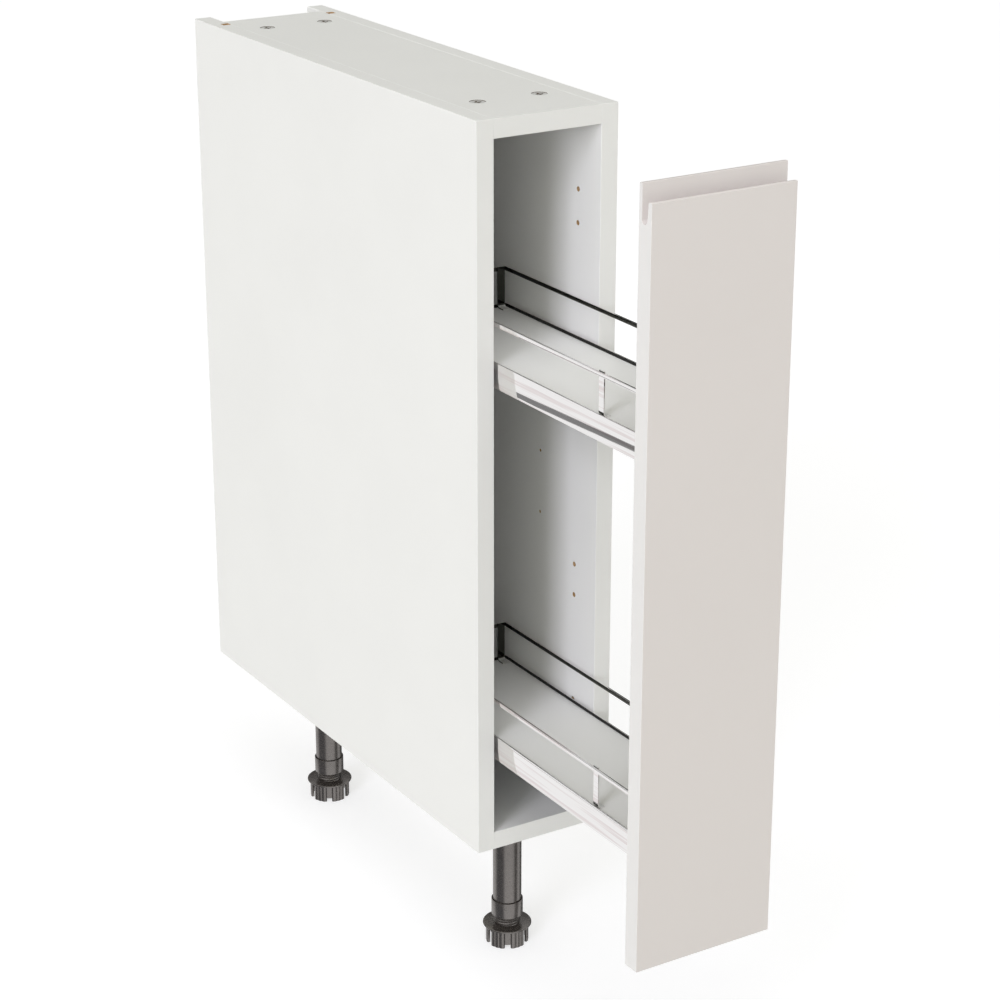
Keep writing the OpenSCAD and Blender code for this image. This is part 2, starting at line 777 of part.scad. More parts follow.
drawn(outer_cage_share) balls(upper_tray_z, outer_ball_x, outer_race_z);  // upper_outer_balls
drawn(inner_cage_share) ball_cage(upper_tray_z, inner_cage_x, inner_ball_x, inner_race_z);  // upper_inner_cage
drawn(inner_cage_share) balls(upper_tray_z, inner_ball_x, inner_race_z);  // upper_inner_balls
drawn(outer_cage_share) ball_cage(lower_tray_z, outer_cage_x, outer_ball_x, outer_race_z);  // lower_outer_cage
drawn(outer_cage_share) balls(lower_tray_z, outer_ball_x, outer_race_z);  // lower_outer_balls
drawn(inner_cage_share) ball_cage(lower_tray_z, inner_cage_x, inner_ball_x, inner_race_z);  // lower_inner_cage
drawn(inner_cage_share) balls(lower_tray_z, inner_ball_x, inner_race_z);  // lower_inner_balls
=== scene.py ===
"""Looks of a pull-out base cabinet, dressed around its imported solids.

Lengths are in metres in the cabinet's own frame: X to the right, Y from the front to the rear, Z up.
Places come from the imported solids' boxes, and what the solids don't say is a named size below.
"""

import json
import math

import bmesh
import bpy
import numpy as np
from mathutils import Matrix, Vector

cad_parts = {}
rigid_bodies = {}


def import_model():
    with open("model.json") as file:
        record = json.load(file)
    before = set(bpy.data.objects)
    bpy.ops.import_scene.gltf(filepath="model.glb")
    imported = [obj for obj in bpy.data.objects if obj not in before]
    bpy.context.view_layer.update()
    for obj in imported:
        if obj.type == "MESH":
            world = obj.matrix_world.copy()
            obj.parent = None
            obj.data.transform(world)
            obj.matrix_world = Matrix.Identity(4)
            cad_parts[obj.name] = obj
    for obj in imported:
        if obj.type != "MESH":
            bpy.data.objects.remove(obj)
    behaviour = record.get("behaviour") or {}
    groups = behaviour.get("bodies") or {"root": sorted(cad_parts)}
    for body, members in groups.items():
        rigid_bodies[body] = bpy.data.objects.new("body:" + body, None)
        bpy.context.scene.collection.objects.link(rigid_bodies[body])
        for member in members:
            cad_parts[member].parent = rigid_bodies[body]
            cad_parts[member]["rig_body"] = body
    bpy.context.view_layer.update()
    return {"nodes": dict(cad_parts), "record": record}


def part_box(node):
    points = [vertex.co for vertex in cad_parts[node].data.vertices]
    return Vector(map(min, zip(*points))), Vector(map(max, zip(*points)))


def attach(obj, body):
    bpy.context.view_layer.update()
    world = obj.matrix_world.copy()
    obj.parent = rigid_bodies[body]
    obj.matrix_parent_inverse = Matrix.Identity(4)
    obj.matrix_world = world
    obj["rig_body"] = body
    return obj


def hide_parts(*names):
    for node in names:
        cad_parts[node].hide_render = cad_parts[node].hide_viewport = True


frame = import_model()
MM = 0.001

# Camera, as worked out from the photograph's vanishing points
CAMERA_PLACE = (-1.2642, -2.1121, 1.3868)
CAMERA_YAW = 31.729
CAMERA_PITCH = 20.774
FOCAL_PX = 2668.1
FRAME_PX = 1000
SENSOR = 36.0

# Light. Azimuths turn from -X towards -Y, and a level of 1 lights a white face that looks at the lamp to 1
SKY = 0.32
SKY_TINT = (1.0, 1.0, 0.82)
CEILING = {"level": 0.40, "source": (-0.12, -0.34, 1.0), "spread": 60.0, "tint": (1.0, 1.0, 1.0)}
KEY = {"azimuth": 30.5, "wide": 16.0, "tint": (0.99, 0.985, 1.09)}
KEY_LOW = {"level": 0.22, "elevation": 12.0, "tall": 14.0, **KEY}
KEY_HIGH = {"level": 0.225, "elevation": 33.0, "tall": 18.0, **KEY}
FILL = {
    "level": 0.12,
    "elevation": 24.0,
    "tall": 26.0,
    "azimuth": 47.0,
    "wide": 26.0,
    "tint": (1.01, 1.01, 0.92),
}
LAMP_DISTANCE = 20.0
FLOOR_ALBEDO = (0.80, 0.80, 0.765)
FLOOR_GLOW = 0.65
FLOOR_SEEN = 1.08
FLOOR_BLUE = 1.055
FLOOR_HALF = 10.0

# Carcass
SIDE_EDGE_R = 0.35 * MM
SEAM_EDGE_R = 1.1 * MM
BOARD_EDGE_R = 0.12 * MM
CAM_RISE = 0.12 * MM
CAM_SINK = 0.14 * MM
CAM_DEPTH = 12 * MM
CAM_CROSS_REACH = 3.6 * MM
CAM_CROSS_W = 2.4 * MM
CAM_CROSS_DEPTH = 2.2 * MM
CAM_SHADE_DEPTH = 0.3 * MM
CAM_SHADE_R = 4.5 * MM
CAM_STEPS = 64
CAM_RINGS = 22

# Front
FRONT_STRIP = 4 * MM
FRONT_LIP_DROP = 14 * MM
GRIP_DEPTH = 19.5 * MM
GRIP_TOP = 9.3 * MM
GRIP_BOTTOM = 7.3 * MM
LIP_BACK_R = 1.6 * MM
EDGE_R = 0.5 * MM
END_R = 0.3 * MM

# Sheet metal of the trays and runners
TRAY_WALL = 1.6 * MM
TRAY_EDGE_H = 0.35 * MM
TRAY_CORNER_R = 3 * MM
TRAY_CREST = 17.4 * MM
TRAY_CURVE = 2.1
TRAY_ROWS = 13
TRAY_LEDGE = 8 * MM
LEDGE_CORNER_R = 0.1 * MM
TRAY_RIM = 3.2 * MM
BOARD_T = 16 * MM
RAIL_W = 2 * MM
RAIL_SOFT = 0.25 * MM
POST_T = 1.2 * MM
POST_EDGE_R = 0.2 * MM
POST_END = 0.6 * MM
REAR_POST_ZONE = 40 * MM
POST_BEND = 4.2 * MM
POST_ROW = 0.5 * MM
STEEL_T = 1.2 * MM
PLATE_T = 2 * MM
STEEL_BEND = 0.7 * MM
RUNNER_LIP = 1.4 * MM

# Legs
TUBE_R = 14.5 * MM
COLLAR_R = 16 * MM
COLLAR_H = 17.5 * MM
COLLAR_GROOVE_W = 0.7 * MM
COLLAR_GROOVE_D = 1.6 * MM
BORE_R = 13 * MM
BORE_H = 90 * MM
FLANGE_T = 2 * MM
RING_H = 19 * MM
RING_R = 21.75 * MM
RING_WALL = 3 * MM
RING_PARTS = 3
RING_STEPS = 420
RING_EDGE = 0.2 * MM
NOTCH_HALF_ANGLE = 8.8
NOTCH_H = 4.4 * MM
PLAIN_HALF_ANGLE = 10.3
PLAIN_DROP = 0.35 * MM
TOOTH_ANGLE = 13.7
TEETH = 3
TOOTH_DEPTH = 0.9 * MM
THREAD_CREST_R = 12.9 * MM
THREAD_DEPTH = 1.0 * MM
THREAD_PITCH = 3 * MM
THREAD_STEPS = 14
STUD_BORE_R = 9 * MM
CUP_R = 18 * MM
CUP_H = 24 * MM
SOCKET_T = 3 * MM
SOCKET_CORNER_R = 8 * MM
SOCKET_EDGE_R = 0.4 * MM
CUP_RIB_T = 2.5 * MM
CUP_RIB_L = 38 * MM

ROUND_STEPS = 8
EDGE_STEPS = 8
TURN_STEPS = 96

SLOT_OF = {s["node"]: s["material_slot"] for s in frame["record"]["subparts"]}


# Surfaces


def rounded(outline, radii, steps=ROUND_STEPS):
    """Closed outline whose corners are arcs. At a corner B with unit vectors u and v to its neighbours and
    an angle t between them, the arc's centre is B + (u + v) / |u + v| * r / sin(t / 2)."""
    outline = np.asarray(outline, float)
    before, after = np.roll(outline, 1, 0), np.roll(outline, -1, 0)
    runs = []
    for a, b, c, r in zip(before, outline, after, np.broadcast_to(radii, len(outline))):
        if r == 0:
            runs.append(b[None])
            continue
        u, v = (a - b) / np.linalg.norm(a - b), (c - b) / np.linalg.norm(c - b)
        half = math.acos(np.clip(u @ v, -1, 1)) / 2
        centre = b + (u + v) / np.linalg.norm(u + v) * r / math.sin(half)
        start, end = b + u * r / math.tan(half) - centre, b + v * r / math.tan(half) - centre
        turn = math.pi - 2 * half
        t = np.linspace(0, 1, steps + 1)[:, None]
        runs.append(centre + (np.sin((1 - t) * turn) * start + np.sin(t * turn) * end) / math.sin(turn))
    return np.concatenate(runs)


def grid(points, around=False, along=False):
    """Quads of a surface given on a grid of points, closed around its first or along its second
    parameter."""
    m, n = points.shape[:2]
    i, j = np.meshgrid(np.arange(m if around else m - 1), np.arange(n if along else n - 1), indexing="ij")
    i2, j2 = (i + 1) % m, (j + 1) % n
    faces = np.stack([i * n + j, i2 * n + j, i2 * n + j2, i * n + j2], -1).reshape(-1, 4)
    return points.reshape(-1, 3), faces.tolist()


def extruded(outline, origin, across, up, along, length):
    """Closed solid: each outline point (a, b) runs from origin + a * across + b * up on for length in the
    direction along, and a flat face closes each end."""
    across, up, along = (np.asarray(v, float) for v in (across, up, along))
    base = np.asarray(origin, float) + outline[:, :1] * across + outline[:, 1:] * up
    points, faces = grid(np.stack([base, base + along * length], 1), around=True)
    n = len(outline)
    ends = [[2 * k for k in range(n)], [2 * k + 1 for k in reversed(range(n))]]
    return points, faces + ends


def lathed(outline, centre, closed=True):
    """Outline points (r, z) turned about a vertical axis: (r cos t, r sin t, z). An open outline starts and
    ends on the axis."""
    t = np.linspace(0, 2 * math.pi, TURN_STEPS, endpoint=False)[None, :]
    r, z = outline[:, :1], outline[:, 1:]
    points = np.stack([r * np.cos(t), r * np.sin(t), z + 0 * t], -1) + np.asarray(centre, float)
    return grid(points, around=closed, along=True)


def ring_loop(lo, hi, inset, radius, height):
    """Rounded rectangle at one height. Each corner is an arc: its centre lies inset + radius in from both
    sides, and its points are the centre + radius * (cos t, sin t) over a quarter turn."""
    corners = [(hi[0], hi[1], 0), (lo[0], hi[1], 90), (lo[0], lo[1], 180), (hi[0], lo[1], 270)]
    middle = (np.asarray(lo[:2]) + np.asarray(hi[:2])) / 2
    loops = []
    for x, y, start in corners:
        inward = np.sign(middle - (x, y))
        t = np.radians(start + np.linspace(0, 90, ROUND_STEPS + 1))[:, None]
        arc = radius * np.hstack([np.cos(t), np.sin(t)])
        loops.append(np.array((x, y)) + inward * (inset + radius) + arc)
    plan = np.concatenate(loops)
    return np.column_stack([plan, np.full(len(plan), height)])


def joined(*shells):
    """Several shells as one list of points and faces."""
    points, faces, start = [], [], 0
    for p, f in shells:
        points.append(p)
        faces += [[k + start for k in face] for face in f]
        start += len(p)
    return np.concatenate(points), faces


def connected(items, neighbours):
    """Groups of items that are linked through their neighbours."""
    left, groups = set(items), []
    while left:
        group, edge = [], [left.pop()]
        while edge:
            item = edge.pop()
            group.append(item)
            near = set(neighbours(item)) & left
            left -= near
            edge += near
        groups.append(group)
    return groups


def merged(mesh):
    """A mesh of loose triangles as one whose faces share their corners."""
    bm = bmesh.new()
    bm.from_mesh(mesh)
    bmesh.ops.remove_doubles(bm, verts=bm.verts, dist=1e-6)
    return bm


def box_of(node):
    """Lowest and highest corner of a CAD node."""
    return [np.array(c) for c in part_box(node)]


def solids_of(node):
    """Lowest and highest corners of each separate solid of a CAD node, in order of place."""
    bm = merged(frame["nodes"][node].data)
    boxes = []
    for group in connected(bm.verts, lambda v: [e.other_vert(v) for e in v.link_edges]):
        co = np.array([v.co for v in group])
        boxes.append((co.min(0), co.max(0)))
    bm.free()
    return sorted(boxes, key=lambda b: tuple(np.round(b[0], 4)))


# Pieces


def stand_in(name, nodes, shell, finishes, bevel=0.0, sharp=32.0):
    """A new piece for some CAD nodes of one body. It takes their body."""
    points, faces = shell
    mesh = bpy.data.meshes.new(name)
    mesh.from_pydata(points.tolist(), [], faces)
    bm = bmesh.new()
    bm.from_mesh(mesh)
    bmesh.ops.remove_doubles(bm, verts=bm.verts, dist=1e-7)
    bmesh.ops.recalc_face_normals(bm, faces=bm.faces)
    bm.to_mesh(mesh)
    bm.free()
    return placed(name, nodes, mesh, finishes, bevel, sharp)


def placed(name, nodes, mesh, finishes, bevel, sharp, flat=False):
    """Puts a mesh in the scene as a piece for its nodes. Its corners are rounded by the bevel, and a flat
    mesh is rounded on its weighted edges only."""
    mesh.polygons.foreach_set("use_smooth", np.full(len(mesh.polygons), not flat))
    mesh.set_sharp_from_angle(angle=math.radians(sharp))
    for finish in finishes:
        mesh.materials.append(finish)
    piece = bpy.data.objects.new(name, mesh)
    bpy.context.scene.collection.objects.link(piece)
    if bevel:
        soften = piece.modifiers.new("soft_edges", "BEVEL")
        soften.width = bevel
        soften.segments = 3
        soften.limit_method = "WEIGHT" if flat else "ANGLE"
        soften.angle_limit = math.radians(40)
        soften.harden_normals = not flat
        soften.use_clamp_overlap = not flat
    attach(piece, frame["nodes"][nodes[0]]["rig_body"])
    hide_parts(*nodes)
    return piece


def softened(name, node, finishes, bevel, other_edges=1.0):
    """A panel's own solid with its outer edges rounded. Each face is cut straight across at the middle of
    every hole, so that no face runs round a hole. The walls of holes and grooves take the second finish.
    All edges but the left one on top are rounded by a share of the bevel."""
    mesh = frame["nodes"][node].data.copy()
    mesh.materials.clear()
    if "custom_normal" in mesh.attributes:
        mesh.attributes.remove(mesh.attributes["custom_normal"])
    bm = merged(mesh)
    bmesh.ops.dissolve_limit(bm, angle_limit=math.radians(1), verts=bm.verts, edges=bm.edges)
    lo, hi = box_of(node)
    axis = int(np.argmax(hi - lo))
    along = np.eye(3)[axis]

    def planes(co):
        return (np.abs(co - lo) < 1e-5).all(0).sum() + (np.abs(co - hi) < 1e-5).all(0).sum()

    def corners(item):
        return np.array([v.co for v in item.verts])

    walls = [f for f in bm.faces if not planes(corners(f))]
    marks = set()
    for wall in connected(walls, lambda f: [g for e in f.edges for g in e.link_faces]):
        reach = np.concatenate([corners(f) for f in wall])[:, axis]
        marks.add(round(float(reach.min() + reach.max()) / 2, 6))
    for mark in sorted(marks):
        everything = bm.verts[:] + bm.edges[:] + bm.faces[:]
        bmesh.ops.bisect_plane(bm, geom=everything, dist=1e-6, plane_co=along * mark, plane_no=along)

    def slants_in_plane(e):
        flat = len(e.link_faces) == 2 and e.calc_face_angle(1) < 0.01
        return flat and abs(np.ptp(corners(e)[:, axis])) > 1e-5

    bmesh.ops.dissolve_edges(bm, edges=[e for e in bm.edges if slants_in_plane(e)], use_verts=False)
    bmesh.ops.dissolve_verts(bm, verts=[v for v in bm.verts if len(v.link_edges) == 2])
    weight = bm.edges.layers.float.new("bevel_weight_edge")
    for e in bm.edges:
        co = corners(e)
        seam = (np.abs(co[:, [0, 2]] - (lo[0], hi[2])) < 1e-5).all()
        e[weight] = float(planes(co) == 2) * (1.0 if seam else other_edges)
    for f in bm.faces:
        f.material_index = 0 if planes(corners(f)) or len(finishes) == 1 else 1
    bm.to_mesh(mesh)
    bm.free()
    mesh.name = name
    return placed(name, [node], mesh, finishes, bevel, 32.0, flat=True)


def finish_where(piece, chosen, index):
    """Gives a piece's finish of that index to the faces whose middles and normals a test picks."""
    mesh = piece.data
    middles, normals = np.empty(3 * len(mesh.polygons)), np.empty(3 * len(mesh.polygons))
    mesh.polygons.foreach_get("center", middles)
    mesh.polygons.foreach_get("normal", normals)
    indexes = np.zeros(len(mesh.polygons), np.int32)
    mesh.polygons.foreach_get("material_index", indexes)
    indexes[chosen(middles.reshape(-1, 3), normals.reshape(-1, 3))] = index
    mesh.polygons.foreach_set("material_index", indexes)


def looks_inward(lo, hi):
    """Test for a ring's faces whose normal has a clear share towards the ring's middle, in plan."""
    middle, half = (lo + hi)[:2] / 2, (hi - lo)[:2] / 2
    return lambda at, n: -((at[:, :2] - middle) / half * n[:, :2]).sum(1) > 0.35


# Finishes


def new_finish(name, color, rough, metal=0.0, specular=0.5):
    """Principled finish with its even values on the shader's own sockets."""
    finish = bpy.data.materials.new(name)
    finish.use_nodes = True
    shader = finish.node_tree.nodes["Principled BSDF"]
    shader.inputs["Base Color"].default_value = (*color, 1)
    shader.inputs["Roughness"].default_value = rough
    shader.inputs["Metallic"].default_value = metal
    shader.inputs["Specular IOR Level"].default_value = specular
    return finish, finish.node_tree, shader


def noise(tree, scale, detail=3.0, stretch=(1, 1, 1)):
    """Noise on object coordinates, scale cells a metre, drawn out along an axis by a small stretch."""
    where = tree.nodes.new("ShaderNodeTexCoord")
    mapping = tree.nodes.new("ShaderNodeMapping")
    mapping.inputs["Scale"].default_value = stretch
    texture = tree.nodes.new("ShaderNodeTexNoise")
    texture.inputs["Scale"].default_value = scale
    texture.inputs["Detail"].default_value = detail
    tree.links.new(where.outputs["Object"], mapping.inputs["Vector"])
    tree.links.new(mapping.outputs["Vector"], texture.inputs["Vector"])
    return texture.outputs["Fac"]


def ramp(tree, source, stops):
    """Colour ramp over a source from 0 to 1, stops as (place, colour)."""
    node = tree.nodes.new("ShaderNodeValToRGB")
    elements = node.color_ramp.elements
    while len(elements) < len(stops):
        elements.new(0.5)
    for element, (place, color) in zip(elements, stops):
        element.position = place
        element.color = (*color, 1)
    tree.links.new(source, node.inputs["Fac"])
    return node.outputs["Color"]


def span_of(tree, source, low, high):
    """A source from 0.3 to 0.7 mapped to low to high."""
    node = tree.nodes.new("ShaderNodeMapRange")
    node.inputs["From Min"].default_value = 0.3
    node.inputs["From Max"].default_value = 0.7
    node.inputs["To Min"].default_value = low
    node.inputs["To Max"].default_value = high
    tree.links.new(source, node.inputs["Value"])
    return node.outputs["Result"]


def bump(tree, shader, source, depth):
    """Surface relief of a depth in metres."""
    node = tree.nodes.new("ShaderNodeBump")
    node.inputs["Strength"].default_value = 1.0
    node.inputs["Distance"].default_value = depth
    tree.links.new(source, node.inputs["Height"])
    tree.links.new(node.outputs["Normal"], shader.inputs["Normal"])


def shaded(color, share):
    return tuple(c * share for c in color)


def board_finish():
    """White melamine: a fine pearl in the resin, and faint clouds in its white."""
    white = (0.855, 0.855, 0.853)
    finish, tree, shader = new_finish("white_melamine", white, 0.42, specular=0.4)
    clouds = ramp(tree, noise(tree, 9, 2), [(0.35, shaded(white, 0.985)), (0.65, white)])
    tree.links.new(clouds, shader.inputs["Base Color"])
    tree.links.new(span_of(tree, noise(tree, 160), 0.40, 0.47), shader.inputs["Roughness"])
    bump(tree, shader, noise(tree, 1500, 2), 0.006 * MM)
    return finish


def raw_board_finish():
    """Bare chipboard in holes and grooves: pressed flakes of brown wood."""
    finish, tree, shader = new_finish("raw_chipboard", (0.50, 0.33, 0.17), 0.85, specular=0.2)
    flakes = tree.nodes.new("ShaderNodeTexVoronoi")
    flakes.inputs["Scale"].default_value = 900
    where = tree.nodes.new("ShaderNodeTexCoord")
    tree.links.new(where.outputs["Object"], flakes.inputs["Vector"])
    tone = tree.nodes.new("ShaderNodeSeparateColor")
    tree.links.new(flakes.outputs["Color"], tone.inputs["Color"])
    color = ramp(tree, tone.outputs["Red"], [(0.0, (0.40, 0.25, 0.12)), (1.0, (0.62, 0.43, 0.24))])
    tree.links.new(color, shader.inputs["Base Color"])
    bump(tree, shader, flakes.outputs["Distance"], 0.12 * MM)
    return finish


def pocket_painted_shade_finish():
    """Chipboard wall of a cam's pocket, in near-black painted shade for its narrow gap."""
    finish, tree, shader = new_finish("pocket_wall", (0.10, 0.08, 0.06), 0.9, specular=0.1)
    color = ramp(tree, noise(tree, 900, 2), [(0.3, (0.07, 0.055, 0.04)), (0.7, (0.14, 0.11, 0.08))])
    tree.links.new(color, shader.inputs["Base Color"])
    return finish


def lacquer_finish(name, tint):
    """Satin lacquer in a warm light grey, with the slight flow of a sprayed coat."""
    finish, tree, shader = new_finish(name, tint, 0.36, specular=0.42)
    clouds = ramp(tree, noise(tree, 5, 2), [(0.35, shaded(tint, 0.99)), (0.65, tint)])
    tree.links.new(clouds, shader.inputs["Base Color"])
    tree.links.new(span_of(tree, noise(tree, 70), 0.34, 0.40), shader.inputs["Roughness"])
    bump(tree, shader, noise(tree, 260, 1), 0.004 * MM)
    return finish


def chrome_finish(name, tint, streaks=0.0):
    """Polished chrome plating, drawn out in faint streaks along the bar, with a trace of wipe marks."""
    finish, tree, shader = new_finish(name, tint, 0.03, metal=1.0)
    drawn = noise(tree, 260, 2, stretch=(0.02, 0.02, 1))
    streak = (tint[0] * (1 - 0.7 * streaks), tint[1] * (1 - streaks), tint[2] * (1 - streaks))
    lines = ramp(tree, drawn, [(0.38, streak), (0.50, tint)])
    tree.links.new(lines, shader.inputs["Base Color"])
    tree.links.new(span_of(tree, noise(tree, 90, 4), 0.02, 0.04), shader.inputs["Roughness"])
    bump(tree, shader, drawn, 0.004 * MM)
    return finish


def zinc_finish():
    """Bright zinc plating on rolled steel: rolling lines along Y and small cloudy patches."""
    tint = (0.66, 0.67, 0.68)
    finish, tree, shader = new_finish("bright_zinc", tint, 0.26, metal=1.0)
    patches = ramp(tree, noise(tree, 220, 3), [(0.3, shaded(tint, 0.86)), (0.7, shaded(tint, 1.08))])
    tree.links.new(patches, shader.inputs["Base Color"])
    lines = noise(tree, 1400, 2, stretch=(1, 0.02, 1))
    tree.links.new(span_of(tree, lines, 0.26, 0.38), shader.inputs["Roughness"])
    bump(tree, shader, lines, 0.002 * MM)
    return finish


def cast_zinc_finish():
    """Dull die-cast zinc with a grainy skin."""
    tint = (0.78, 0.78, 0.77)
    finish, tree, shader = new_finish("cast_zinc", tint, 0.45, metal=0.4)
    grain = ramp(tree, noise(tree, 700, 4), [(0.3, shaded(tint, 0.8)), (0.7, shaded(tint, 1.15))])
    tree.links.new(grain, shader.inputs["Base Color"])
    bump(tree, shader, noise(tree, 2500, 2), 0.01 * MM)
    return finish


def leg_finish():
    """Glossy dark grey-brown moulding, dense enough to mirror the room in bands, with faint flow marks."""
    tint = (0.038, 0.033, 0.030)
    finish, tree, shader = new_finish("leg_moulding", tint, 0.26, specular=1.0)
    shader.inputs["IOR"].default_value = 1.9
    shader.inputs["Specular Tint"].default_value = (1.0, 0.94, 0.91, 1)
    marks = ramp(tree, noise(tree, 60, 3), [(0.3, shaded(tint, 0.85)), (0.7, shaded(tint, 1.15))])
    tree.links.new(marks, shader.inputs["Base Color"])
    tree.links.new(span_of(tree, noise(tree, 300, 3), 0.22, 0.30), shader.inputs["Roughness"])
    bump(tree, shader, noise(tree, 1200, 2), 0.002 * MM)
    return finish


def beech_finish():
    """Turned beech: long fine grain across the cabinet and short darker flecks."""
    finish, tree, shader = new_finish("beech", (0.60, 0.40, 0.22), 0.55)
    grain = noise(tree, 1800, 3, stretch=(0.06, 1, 1))
    color = ramp(tree, grain, [(0.3, (0.48, 0.30, 0.15)), (0.7, (0.66, 0.46, 0.27))])
    tree.links.new(color, shader.inputs["Base Color"])
    bump(tree, shader, grain, 0.03 * MM)
    return finish


def ball_finish():
    """Polished bearing steel under a thin film of grease."""
    finish, tree, shader = new_finish("bearing_steel", (0.72, 0.73, 0.74), 0.10, metal=1.0)
    tree.links.new(span_of(tree, noise(tree, 600, 3), 0.06, 0.22), shader.inputs["Roughness"])
    return finish


BOARD = board_finish()
RAW = raw_board_finish()
POCKET_PAINTED_SHADE = pocket_painted_shade_finish()
LACQUER = lacquer_finish("satin_lacquer", (0.752, 0.709, 0.705))
LACQUER_END = lacquer_finish("lacquered_edge", (0.798, 0.785, 0.790))
CHROME = chrome_finish("polished_chrome", (0.90, 0.885, 0.88), streaks=0.17)
# Painted shade: dark copies of the chrome for faces that look into the trays and for the rear posts,
# standing in for dark reflections.
RAIL_PAINTED_SHADE = chrome_finish("shaded_chrome", (0.090, 0.092, 0.082))
RIM_PAINTED_SHADE = chrome_finish("dark_chrome", (0.030, 0.030, 0.028))
# A grey copy of the chrome paints shade on the outside of the posts' bend.
BEND_PAINTED_SHADE = chrome_finish("foot_chrome", (0.30, 0.30, 0.29))
ZINC = zinc_finish()
# Cast zinc, which also paints glints on the posts' ends and feet.
CAST_ZINC_AND_PAINTED_GLINT = cast_zinc_finish()
LEG = leg_finish()
BEECH = beech_finish()
BALL = ball_finish()
FINISH_OF_SLOT = {
    "white_board": BOARD,
    "front_board": LACQUER,
    "beech": BEECH,
    "polished_steel": CHROME,
    "zinc_steel": ZINC,
    "cast_zinc": CAST_ZINC_AND_PAINTED_GLINT,
    "ball_steel": BALL,
    "leg_plastic": LEG,
}


def finish_solids():
    for node, solid in frame["nodes"].items():
        solid.data.materials.clear()
        solid.data.materials.append(FINISH_OF_SLOT[SLOT_OF[node]])


# Carcass


def carcass():
    seam_share = SIDE_EDGE_R / SEAM_EDGE_R
    # The hole and groove walls of the top and bottom take the pocket's painted shade.
    for name, node, bevel, wall in (
        ("left_side", "side_panel_left", SIDE_EDGE_R, RAW),
        ("right_side", "side_panel_right", SEAM_EDGE_R, RAW),
        ("carcass_top", "top_panel", BOARD_EDGE_R, POCKET_PAINTED_SHADE),
        ("carcass_bottom", "bottom_panel", BOARD_EDGE_R, POCKET_PAINTED_SHADE),
        ("carcass_back", "back_panel", BOARD_EDGE_R, RAW),
        ("upper_board", "upper_tray_board", BOARD_EDGE_R, RAW),
        ("lower_board", "lower_tray_board", BOARD_EDGE_R, RAW),
    ):
        softened(name, node, [BOARD, wall], bevel, seam_share if bevel == SEAM_EDGE_R else 1.0)


def front():
    """The front's section, y from its face and z from its lower edge, runs across the cabinet."""
    lo, hi = box_of("door_front")
    depth, height = hi[1] - lo[1], hi[2] - lo[2]
    back = depth - FRONT_STRIP
    lip = height - FRONT_LIP_DROP
    outline = rounded(
        [
            (0, 0),
            (depth, 0),
            (depth, height),
            (back, height),
            (back, lip - GRIP_DEPTH),
            (back - GRIP_BOTTOM, lip - GRIP_DEPTH),
            (back - GRIP_TOP, lip),
            (0, lip),
        ],
        [EDGE_R, EDGE_R, EDGE_R, EDGE_R, GRIP_BOTTOM / 2, GRIP_BOTTOM / 2, LIP_BACK_R, EDGE_R],
    )
    shell = extruded(outline, lo, (0, 1, 0), (0, 0, 1), (1, 0, 0), hi[0] - lo[0])
    piece = stand_in("grip_front", ["door_front"], shell, [LACQUER, LACQUER_END], bevel=END_R)
    finish_where(piece, lambda at, n: np.abs(n[:, 0]) > 0.9, 1)


# Trays


def tray_side(lo, hi):
    """Ring of one wall section, given as rows of inset, corner radius and height, carried round the tray's
    plan. The outer face falls back from its crest by TRAY_CURVE * (z - TRAY_CREST)^2, and the front stretch
    ends at the board's ledge."""
    height = hi[2] - lo[2]
    board_low = height - TRAY_RIM - BOARD_T
    ledge_low = board_low - TRAY_WALL
    ledge = TRAY_WALL + TRAY_LEDGE
    outer_r, inner_r = TRAY_CORNER_R - TRAY_WALL / 2, TRAY_CORNER_R - TRAY_WALL
    rise = np.linspace(TRAY_EDGE_H, height - TRAY_EDGE_H, TRAY_ROWS)
    bulge = TRAY_CURVE * (rise - TRAY_CREST) ** 2
    turn = np.radians(np.linspace(0, 180, EDGE_STEPS + 1)[1:-1])
    over, out = (1 - np.cos(turn)) / 2, TRAY_EDGE_H * np.sin(turn)
    rows = [(b, TRAY_CORNER_R - b, z) for b, z in zip(bulge, rise)]
    rows += [(bulge[-1] + o * (TRAY_WALL - bulge[-1]), outer_r, rise[-1] + z) for o, z in zip(over, out)]
    rows += [(TRAY_WALL, inner_r, rise[-1]), (TRAY_WALL, inner_r, board_low)]
    rows += [(ledge, LEDGE_CORNER_R, board_low), (ledge, LEDGE_CORNER_R, ledge_low)]
    rows += [(TRAY_WALL, inner_r, ledge_low), (TRAY_WALL, inner_r, rise[0])]
    rows += [(TRAY_WALL - o * (TRAY_WALL - bulge[0]), outer_r, rise[0] - z) for o, z in zip(over, out)]
    loops = np.stack([ring_loop(lo, hi, i, r, lo[2] + z) for i, r, z in rows])
    # the front runs from the last point of the third corner to the first of the fourth
    last, first = 3 * (ROUND_STEPS + 1) - 1, 3 * (ROUND_STEPS + 1)
    lifted = loops[:, [last, first]].copy()
    lifted[:, :, 2] = np.maximum(lifted[:, :, 2], lo[2] + ledge_low)
    loops = np.concatenate([loops[:, : last + 1], lifted, loops[:, first:]], 1)
    return grid(loops, around=True, along=True)


def rail_loop(lo, hi):
    """Ring whose section is a rectangle with rounded edges: rows of inset and height from its outline."""
    section = rounded([(0, lo[2]), (RAIL_W, lo[2]), (RAIL_W, hi[2]), (0, hi[2])], RAIL_SOFT, 4)
    loops = np.stack([ring_loop(lo, hi, i, TRAY_CORNER_R - i, z) for i, z in section])
    return grid(loops, around=True, along=True)


